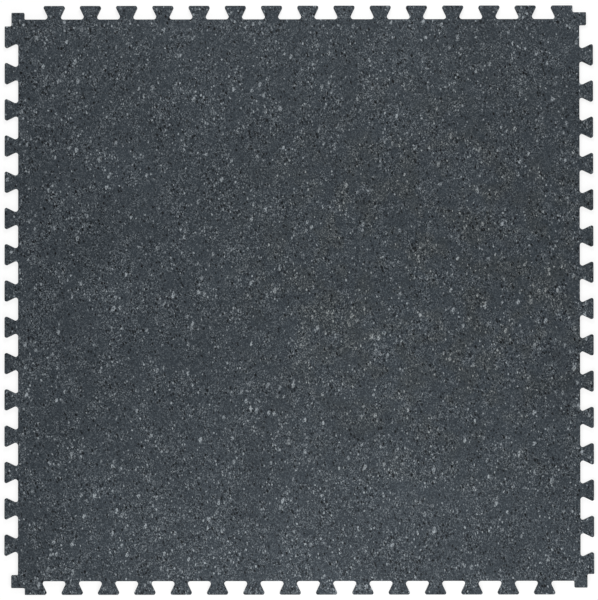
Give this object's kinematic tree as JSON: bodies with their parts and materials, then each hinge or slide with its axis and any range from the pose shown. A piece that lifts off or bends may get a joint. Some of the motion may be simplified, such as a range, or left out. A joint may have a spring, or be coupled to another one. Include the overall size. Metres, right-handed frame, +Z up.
{
  "type": "interlocking floor tile",
  "caption": "Square flexible PVC floor tile with dovetail tabs along all sides that lock into the next tile; dark slate surface with pale and dark flecks.",
  "frame": {"origin": "centre of the tile on its underside", "axes": "+Z up out of the walking face, +X and +Y square to the sides"},
  "size_m": [0.649, 0.649, 0.006],
  "materials": {
    "flecked_pvc": "matte"
  },
  "bodies": {
    "root": {"floor_tile": "flecked_pvc"}
  },
  "joints": []
}
